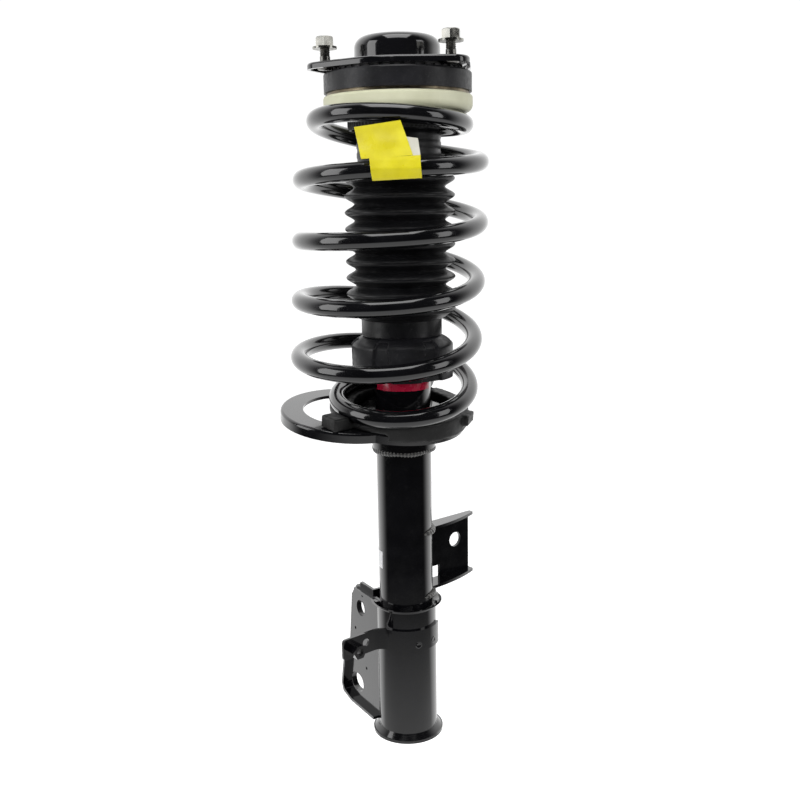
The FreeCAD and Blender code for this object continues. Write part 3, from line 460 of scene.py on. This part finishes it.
def coil_point(n):
    """The wire's centre after n turns from the upper tip, winding down clockwise from above."""
    swell = step(n, 0.0, 1.48) * (1.0 - step(n, 4.89, 1.06))
    end_round = TIP_ROUND if n < 3.0 else FOOT_ROUND
    x, y = polar(mix(end_round, COIL_ROUND, swell), COIL_START_ANGLE - 360.0 * n)
    bow_x, bow_y = shared(n / 5.0, BOW_TOP, BOW_LOW)
    bow_share = 1.0 - step(n, 4.97, 0.8)
    lean_x, lean_y = shared((n - 0.4) / 5.6, LEAN_TOP, LEAN_LOW)
    lean = (lean_x * x + lean_y * y) / COIL_ROUND
    return Vector((x + bow_x * bow_share, y + bow_y * bow_share, COIL_TOP - coil_fall(n) - lean))


def wire_ring(n, radius, shift=0.0):
    """A ring of points round the wire, moved along it by shift."""
    here = coil_point(n)
    ahead = (coil_point(n + 0.002) - coil_point(n - 0.002)).normalized()
    side = ahead.cross(Vector((0, 0, 1))).normalized()
    above = side.cross(ahead)
    here = here + ahead * shift
    ring = []
    for index in range(WIRE_SIDES):
        x, y = polar(radius, 360.0 * index / WIRE_SIDES)
        ring.append(tuple(here + side * x + above * y))
    return ring


def coil_spring():
    count = int(COIL_TURNS * RINGS_PER_TURN)
    between = [COIL_TURNS * index / count for index in range(1, count)]
    rings = [wire_ring(0.0, WIRE_ROUND - WIRE_TRIM), wire_ring(0.0, WIRE_ROUND, WIRE_TRIM)]
    rings += [wire_ring(n, WIRE_ROUND) for n in between]
    rings += [wire_ring(COIL_TURNS, WIRE_ROUND, -WIRE_TRIM),
              wire_ring(COIL_TURNS, WIRE_ROUND - WIRE_TRIM)]
    points, faces = skin(rings)
    made = piece("spring_wire", points, faces, "black_paint", replaced=["coil_spring"])
    crossing(made)


# ---------------------------------------------------------------- dust boot and its cup

BOOT_TOP, PLEATS_TOP, PLEATS_LOW, BOOT_LOW = -42.0, -84.0, -200.0, -214.0
NECK_ROUND, PLEAT_TIP, PLEAT_ROOT, BOOT_COLLAR_ROUND = 33.0, 44.3, 36.3, 32.8
PLEATS = 9
PLEAT_STEPS = 12
BOOT_WALL = 1.8
NECK_BANDS = 5
NECK_BAND = ((0.0, 0.0), (1.2, 0.5), (4.6, 0.5), (5.8, 0.0))   # how far down it, how far out


def dust_boot():
    outer = [(NECK_ROUND + 4.0, BOOT_TOP), (NECK_ROUND + 4.0, BOOT_TOP - 2.0)]
    for index in range(NECK_BANDS):                # shallow moulded bands on the plain neck
        base = mix(BOOT_TOP - 5.0, PLEATS_TOP, index / NECK_BANDS)
        outer += [(NECK_ROUND + proud, base - along) for along, proud in NECK_BAND]
    pitch = (PLEATS_TOP - PLEATS_LOW) / PLEATS
    for index in range(PLEATS):
        for part in range(PLEAT_STEPS):
            turn = part / PLEAT_STEPS
            crest = (0.5 - 0.5 * math.cos(2.0 * math.pi * turn)) ** 0.8
            outer.append((mix(PLEAT_ROOT, PLEAT_TIP, crest), PLEATS_TOP - pitch * (index + turn)))
    outer.append((PLEAT_ROOT, PLEATS_LOW))
    outer += [(BOOT_COLLAR_ROUND, PLEATS_LOW - 1.5), (BOOT_COLLAR_ROUND, BOOT_LOW)]
    inner = [(radius - BOOT_WALL, height) for radius, height in reversed(outer)]
    points, faces = turned(outer + inner, 112)
    made = piece("boot_bellows", points, faces, "boot_rubber", replaced=["dust_boot"], sharp=60.0)
    crossing(made)


CUP_NECK_ROUND, CUP_NECK_TOP, CUP_SHOULDER = 30.5, -201.0, -215.0
CUP_ROUND, CUP_FLARE_LOW, CUP_LOW, CUP_WALL = 41.8, -223.0, -249.0, 2.4
CUP_WEB_TOP, CUP_WEB_LOW, CUP_HOLE = -229.0, -231.8, 15.0
CUP_FLARE_STEPS, CUP_ROWS = 8, 30
RECESSES = 6
RECESS_FIRST = 4.0                   # the first recess faces this way
RECESS_TOP = -217.5
RECESS_HALF_TOP, RECESS_HALF_LOW = 5.0, 9.5
RECESS_FLAT = 38.4                   # how far the flat of a recess is from the axis
RECESS_EDGE = 0.9


def recessed(radius, angle, height):
    """The cup's radius, less in its six tapering flats."""
    if height > RECESS_TOP + RECESS_EDGE:
        return radius
    pitch = 360.0 / RECESSES
    turn = (angle - RECESS_FIRST + pitch / 2.0) % pitch - pitch / 2.0
    aside = abs(radius * math.sin(math.radians(turn)))
    share = clamp((RECESS_TOP - height) / (RECESS_TOP - CUP_LOW))
    half = mix(RECESS_HALF_TOP, RECESS_HALF_LOW, share)
    within = clamp((half - aside) / RECESS_EDGE + 0.5)
    within *= clamp((RECESS_TOP - height) / RECESS_EDGE + 0.5)
    flat = RECESS_FLAT / math.cos(math.radians(turn)) - (CUP_ROUND - radius)
    return mix(radius, min(radius, flat), within)


def boot_cup():
    outer = [(CUP_NECK_ROUND, CUP_NECK_TOP), (CUP_NECK_ROUND, CUP_SHOULDER + 1.2),
             (CUP_NECK_ROUND + 0.6, CUP_SHOULDER)]
    for index in range(CUP_FLARE_STEPS + 1):
        share = index / CUP_FLARE_STEPS
        height = mix(CUP_SHOULDER - 0.4, CUP_FLARE_LOW, share)
        outer.append((mix(BOOT_COLLAR_ROUND, CUP_ROUND, math.sin(share * math.pi / 2.0)), height))
    shares = [index / CUP_ROWS for index in range(CUP_ROWS + 1)]
    outer += [(CUP_ROUND, mix(CUP_FLARE_LOW - 0.8, CUP_LOW, share)) for share in shares]
    inner = [(CUP_ROUND - CUP_WALL, mix(CUP_LOW, CUP_WEB_LOW, share)) for share in shares]
    web = [(CUP_HOLE, CUP_WEB_LOW), (CUP_HOLE, CUP_WEB_TOP), (CUP_NECK_ROUND - CUP_WALL, CUP_WEB_TOP),
           (CUP_NECK_ROUND - CUP_WALL, CUP_NECK_TOP)]
    points, faces = turned(outer + inner + web, 360, recessed)
    piece("boot_cup_shell", points, faces, "black_plastic", "damper", ["boot_cup"], sharp=30.0)


# ---------------------------------------------------------------- upper isolator

ISOLATOR_INNER, ISOLATOR_ROUND = 37.6, 40.2
ISOLATOR_TOP, ISOLATOR_LOW = -40.6, -53.0
ISOLATOR_RIBS, RIB_DEPTH = 72, 0.5


def upper_isolator():
    def ribbed(radius, angle, height):
        if radius < ISOLATOR_ROUND - 1.5:
            return radius
        wave = math.cos(math.radians(angle * ISOLATOR_RIBS))
        return radius - RIB_DEPTH + RIB_DEPTH * clamp(wave * 2.0 + 0.5)

    profile = [(ISOLATOR_INNER, ISOLATOR_TOP), (ISOLATOR_ROUND, ISOLATOR_TOP),
               (ISOLATOR_ROUND, ISOLATOR_LOW + 3.0), (ISOLATOR_ROUND - 1.0, ISOLATOR_LOW),
               (ISOLATOR_INNER, ISOLATOR_LOW)]
    points, faces = turned(profile, ISOLATOR_RIBS * 8, ribbed)
    piece("isolator_ribs", points, faces, "rubber", "swivel", ["upper_isolator"])


# ---------------------------------------------------------------- studs

STUD_CIRCLE, STUD_FIRST = 57.0, 13.0
STUD_ROUND, STUD_CORE = 4.0, 3.35
STUD_HEAD_ROUND, STUD_HEAD_THICK = 6.0, 2.4
PLATE_TOP, PLATE_THICK = -3.3, 2.6
STUD_TOP = 13.6
THREAD_PITCH = 1.25
THREAD_LOW = 0.2
THREAD_CREST = STUD_ROUND - 0.05
THREAD_END = 0.8                     # the ridge fades over this much below the stud's end
STUD_TIP_ROUND, STUD_TIP_LONG = 3.0, 0.9
STUD_SIDES, RINGS_PER_PITCH = 36, 8


def thread_radius(height, turn):
    """How far out the thread is, at a height and at a share of a turn round the stud."""
    runout = clamp((height - THREAD_LOW) / THREAD_PITCH) * clamp((STUD_TOP - height) / THREAD_END)
    phase = (height / THREAD_PITCH - turn) % 1.0
    ridge = 1.0 - abs(2.0 * phase - 1.0)
    core = STUD_CORE if height > THREAD_LOW + THREAD_PITCH else STUD_ROUND
    tip = mix(STUD_TIP_ROUND, STUD_ROUND, clamp((STUD_TOP - height) / STUD_TIP_LONG))
    return min(mix(core, THREAD_CREST, ridge * runout), tip)


def threaded_stud(cx, cy):
    """A pressed stud with a rolled helical thread."""
    under = PLATE_TOP - PLATE_THICK
    head_low = under - STUD_HEAD_THICK
    plain = [(head_low, STUD_HEAD_ROUND - 0.6), (head_low + 0.6, STUD_HEAD_ROUND),
             (under - 0.05, STUD_HEAD_ROUND), (under, STUD_ROUND), (THREAD_LOW, STUD_ROUND)]
    count = int((STUD_TOP - THREAD_LOW) / THREAD_PITCH * RINGS_PER_PITCH)
    heights = [mix(THREAD_LOW, STUD_TOP, (index + 1) / count) for index in range(count)]
    turns = [k / STUD_SIDES for k in range(STUD_SIDES)]
    rows = [(height, [radius] * STUD_SIDES) for height, radius in plain]
    rows += [(height, [thread_radius(height, turn) for turn in turns]) for height in heights]
    rings = []
    for height, radii in rows:
        ring = []
        for turn, radius in zip(turns, radii):
            x, y = polar(radius, 360.0 * turn)
            ring.append((cx + x, cy + y, height))
        rings.append(ring)
    return skin(rings)


def mount_studs():
    centres = [polar(STUD_CIRCLE, STUD_FIRST + 120.0 * index) for index in range(3)]
    points, faces = joined(threaded_stud(cx, cy) for cx, cy in centres)
    piece("threaded_studs", points, faces, "stud_steel", "mount", ["mount_studs"], sharp=50.0)


# ---------------------------------------------------------------- weld bead round the tube

TUBE_ROUND = 23.0
SEAT_SLEEVE_LOW = -309.0
BEAD_SINK = 0.3                      # how far a bead may reach into the tube's wall
SEAT_BEAD_SIZE, SEAT_BEAD_OUT, SEAT_BEAD_STRETCH = 2.3, 1.3, 1.15
SEAT_BEAD_RIPPLES, SEAT_BEAD_RIPPLE = 58, 0.22
SEAT_BEAD_LUMP = 0.5
SEAT_BEAD_DROP = 0.9                 # below the sleeve's edge, give or take as much again


def bead_ring(x, y, height, size, sides, out_by, stretch=1.0):
    """A ring of points round a bead on the tube, where (x, y) is the way out from the axis."""
    ring = []
    for k in range(sides):
        out, up = polar(size, 360.0 * k / sides)
        radius = max(TUBE_ROUND + out_by + out, TUBE_ROUND - BEAD_SINK)
        ring.append((x * radius, y * radius, height + up * stretch))
    return ring


def seat_weld():
    """An uneven bead whose ripples follow the torch round the tube."""
    count = 360
    rings = []
    for index in range(count):
        angle = 360.0 * index / count
        x, y = polar(1.0, angle)
        ripple = SEAT_BEAD_RIPPLE * math.sin(math.radians(angle * SEAT_BEAD_RIPPLES))
        ripple += SEAT_BEAD_LUMP * noise.noise(Vector((x * 3.0, y * 3.0, 0.4)))
        wander = SEAT_BEAD_DROP * noise.noise(Vector((x * 1.6, y * 1.6, 2.0)))
        height = SEAT_SLEEVE_LOW - SEAT_BEAD_DROP + wander
        rings.append(bead_ring(x, y, height, SEAT_BEAD_SIZE + ripple, 14, SEAT_BEAD_OUT, SEAT_BEAD_STRETCH))
    points, faces = skin(rings, round_again=True)
    piece("seat_bead", points, faces, "weld", "damper", ["seat_weld"])


# ---------------------------------------------------------------- lower isolator

MOULD_VOXEL = 0.0009
MOULD_ROUNDING = 14                  # smoothing passes that round the moulded edges


def lower_isolator():
    """The rubber pad of the lower seat, with the soft edges of a moulding."""
    mesh = nodes["lower_isolator"].data.copy()
    made = bpy.data.objects.new("isolator_pad", mesh)
    bpy.context.scene.collection.objects.link(made)
    weld = made.modifiers.new("weld", "WELD")
    weld.merge_threshold = 0.00001
    remesh = made.modifiers.new("remesh", "REMESH")
    remesh.mode, remesh.voxel_size, remesh.use_smooth_shade = "VOXEL", MOULD_VOXEL, True
    rounding = made.modifiers.new("rounding", "SMOOTH")
    rounding.factor, rounding.iterations = 0.5, MOULD_ROUNDING
    bpy.context.view_layer.update()
    graph = bpy.context.evaluated_depsgraph_get()
    final = bpy.data.meshes.new_from_object(made.evaluated_get(graph))
    made.modifiers.clear()
    made.data = final
    final.materials.clear()
    final.materials.append(materials["rubber"])
    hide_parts("lower_isolator")
    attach(made, "damper")


# ---------------------------------------------------------------- spot welds on the strap

STRAP_ROUND = 27.7
SPOT_WELDS = ((349.9, -476.6), (23.9, -475.9))                 # direction and height
SPOT_PROFILE = ((3.1, -0.4), (3.0, 0.1), (2.4, 0.45), (1.7, 0.3), (0.9, 0.05), (0.05, 0.0))
SPOT_SIDES = 32


def spot_weld(angle, height):
    """A pressed ring on the strap, by SPOT_PROFILE's radii and how proud of the strap each is."""
    out_x, out_y = polar(1.0, angle)
    side_x, side_y = polar(1.0, angle + 90.0)
    rings = []
    for wide, proud in SPOT_PROFILE:
        ring = []
        for k in range(SPOT_SIDES):
            aside, up = polar(wide, 360.0 * k / SPOT_SIDES)
            reach = math.sqrt(STRAP_ROUND ** 2 - aside ** 2) + proud
            ring.append((out_x * reach + side_x * aside, out_y * reach + side_y * aside, height + up))
        rings.append(ring)
    return skin(rings)


def spot_welds():
    """The two rings where the strap is welded to the collar."""
    points, faces = joined(spot_weld(angle, height) for angle, height in SPOT_WELDS)
    piece("spot_welds", points, faces, "black_paint", "damper", sharp=60.0)


# ---------------------------------------------------------------- stabiliser bracket's welds

LINK_LOW, LINK_TOP = -438.0, -382.0
LINK_WELD_FIRST, LINK_WELD_LAST = 12.0, 98.0
LINK_BEAD_SIZE, LINK_BEAD_LEAST, LINK_BEAD_OUT = 2.5, 0.3, 0.5
LINK_BEAD_RIPPLE, LINK_BEAD_LUMP = 0.16, 0.4


def stabiliser_bead(height, seed):
    """A bead that swells from nothing and fades again, lumpy by its own seed."""
    count = 90
    rings = []
    for index in range(count + 1):
        share = index / count
        x, y = polar(1.0, mix(LINK_WELD_FIRST, LINK_WELD_LAST, share))
        size = LINK_BEAD_SIZE * min(1.0, math.sin(share * math.pi) * 2.2 + 0.12)
        size += (LINK_BEAD_RIPPLE * math.sin(share * 70.0)
                 + LINK_BEAD_LUMP * noise.noise(Vector((x * 4.0, y * 4.0, seed))))
        rings.append(bead_ring(x, y, height, max(size, LINK_BEAD_LEAST), 12, LINK_BEAD_OUT))
    return skin(rings)


def stabiliser_welds():
    """Two short beads where the channel's flanges meet the tube."""
    points, faces = joined([stabiliser_bead(LINK_LOW - 0.2, 3.0), stabiliser_bead(LINK_TOP + 0.2, 7.0)])
    piece("stabiliser_beads", points, faces, "weld", "damper", ["stabiliser_welds"])


# ---------------------------------------------------------------- tape

TAPE_ANGLE = 323.5
TAPE_THICK = 0.3
TAPE_HANG = ((-45.0, 69.6), (-51.5, 71.2), (-79.0, 83.2), (-84.5, 84.8), (-91.5, 83.2), (-96.0, 81.0))
UPPER_STRIP = ((-25.4, -54.8), (8.1, -50.6), (17.7, -75.7), (-19.5, -77.7))
LOWER_STRIP = ((-13.6, -77.1), (23.0, -75.8), (24.1, -91.8), (-11.7, -93.2))
BACKING = ((9.5, -62.0), (20.9, -63.7), (23.0, -75.8), (16.0, -76.2))
TAPE_WAVE = 0.5


def tape_reach(height):
    """How far out the hanging tape is at a height."""
    for (high, far), (low, near) in zip(TAPE_HANG, TAPE_HANG[1:]):
        if height >= low:
            return mix(near, far, clamp((height - low) / (high - low)))
    return TAPE_HANG[-1][1]


def strip(name, corners, finish, lift, columns=16, rows=20):
    """A limp strip between four corners (aside, height), lifted off the surface behind it."""
    first, second, third, fourth = corners
    sheets = []
    for back in (0.0, TAPE_THICK):
        grid = []
        for row in range(rows + 1):
            down = row / rows
            for column in range(columns + 1):
                over = column / columns
                aside, height = (mix(mix(first[axis], second[axis], over),
                                     mix(fourth[axis], third[axis], over), down) for axis in (0, 1))
                reach = tape_reach(height) + lift - back
                reach += TAPE_WAVE * noise.noise(Vector((aside * 0.09, height * 0.09, lift)))
                x, y = polar(reach, TAPE_ANGLE)
                side_x, side_y = polar(aside, TAPE_ANGLE + 90.0)
                grid.append((x + side_x, y + side_y, height))
        sheets.append(grid)
    size = (rows + 1) * (columns + 1)
    points = sheets[0] + sheets[1]
    faces = []
    for row in range(rows):
        for column in range(columns):
            a = row * (columns + 1) + column
            quad = (a, a + 1, a + columns + 2, a + columns + 1)
            faces.append(quad)
            faces.append(tuple(corner + size for corner in reversed(quad)))
    rim = list(range(columns + 1))
    rim += [row * (columns + 1) + columns for row in range(1, rows + 1)]
    rim += [rows * (columns + 1) + column for column in range(columns - 1, -1, -1)]
    rim += [row * (columns + 1) for row in range(rows - 1, 0, -1)]
    for a, b in zip(rim, rim[1:] + rim[:1]):
        faces.append((a, b, b + size, a + size))
    made = piece(name, points, faces, "yellow_tape", finish=finish, sharp=60.0)
    crossing(made)
    return made


def hanging_tape():
    strip("tape_backing", BACKING, "tape_paper", -0.5)
    strip("tape_upper", UPPER_STRIP, "yellow_tape", 0.0)
    lower = strip("tape_lower", LOWER_STRIP, "yellow_tape", 0.6)
    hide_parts("tape_tag")


# ---------------------------------------------------------------- build

add_camera()
add_floor()
add_lights()
dress_nodes()
coil_spring()
dust_boot()
boot_cup()
upper_isolator()
mount_studs()
lower_isolator()
spot_welds()
seat_weld()
stabiliser_welds()
hanging_tape()
